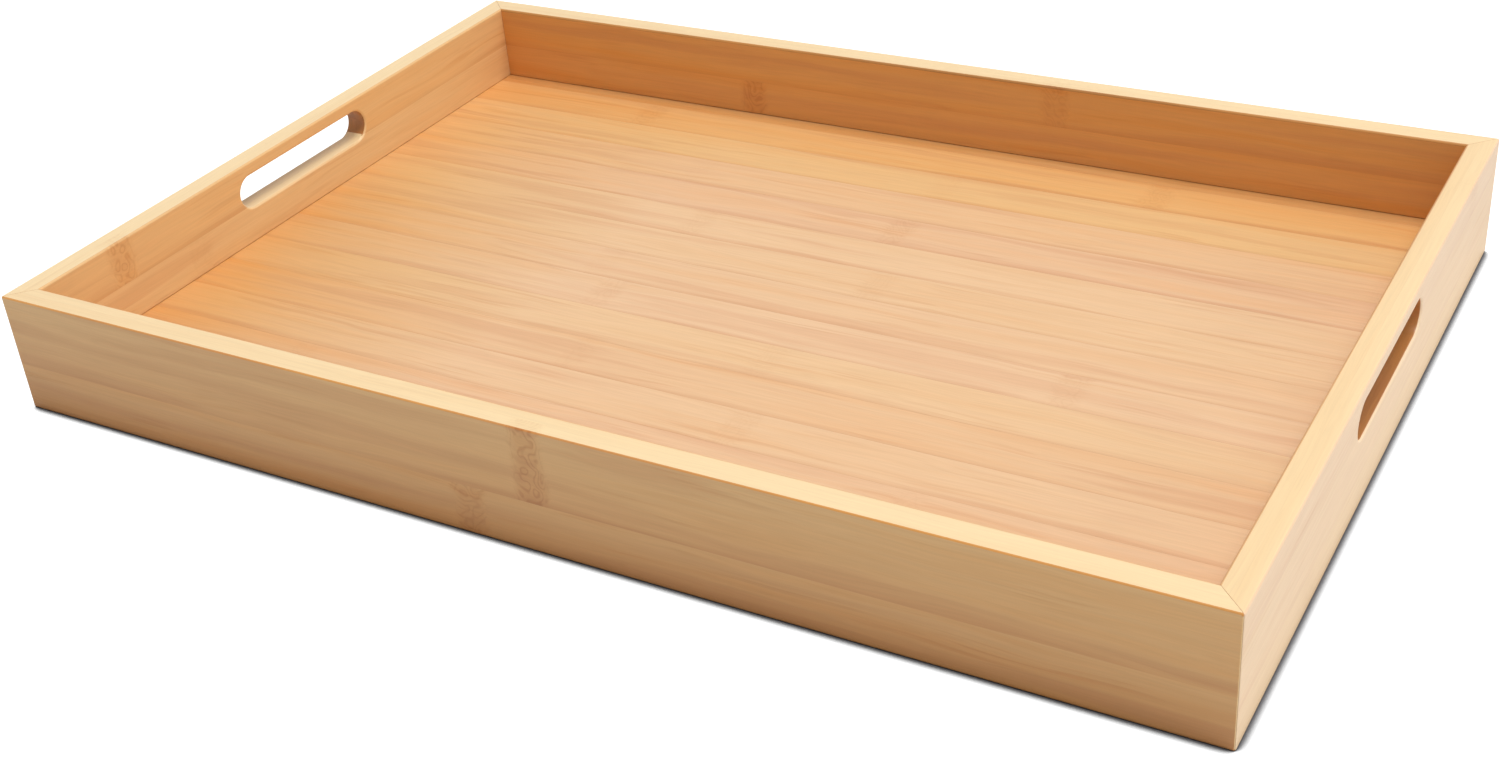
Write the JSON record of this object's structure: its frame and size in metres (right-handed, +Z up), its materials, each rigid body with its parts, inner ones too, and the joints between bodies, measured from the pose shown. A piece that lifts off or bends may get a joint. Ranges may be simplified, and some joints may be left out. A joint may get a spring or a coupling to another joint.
{
  "type": "serving tray",
  "caption": "Shallow rectangular bamboo serving tray with mitred rails, a hand slot through each short end and a flat floor of edge-glued staves.",
  "frame": {"origin": "centre of the footprint, at the height of the surface that the tray stands on", "axes": "+X along the tray's length from the left handle to the right one, -Y towards the front rail, +Z up out of the open side"},
  "size_m": [0.432, 0.292, 0.0445],
  "materials": {
    "rail_bamboo": "sanded plain-pressed bamboo under a thin satin lacquer",
    "floor_bamboo": "sanded edge-glued bamboo strips under a thin satin lacquer",
    "spline_bamboo": "raw sawn bamboo"
  },
  "bodies": {
    "root": {"front_rail": "rail_bamboo", "back_rail": "rail_bamboo", "left_handle_rail": "rail_bamboo", "right_handle_rail": "rail_bamboo", "floor_stave_01": "floor_bamboo", "floor_stave_02": "floor_bamboo", "floor_stave_03": "floor_bamboo", "floor_stave_04": "floor_bamboo", "floor_stave_05": "floor_bamboo", "floor_stave_06": "floor_bamboo", "floor_stave_07": "floor_bamboo", "floor_stave_08": "floor_bamboo", "floor_stave_09": "floor_bamboo", "floor_stave_10": "floor_bamboo", "floor_stave_11": "floor_bamboo", "floor_stave_12": "floor_bamboo", "floor_stave_13": "floor_bamboo", "floor_stave_14": "floor_bamboo", "floor_stave_15": "floor_bamboo", "front_left_spline": "spline_bamboo", "front_right_spline": "spline_bamboo", "back_left_spline": "spline_bamboo", "back_right_spline": "spline_bamboo"}
  },
  "joints": []
}
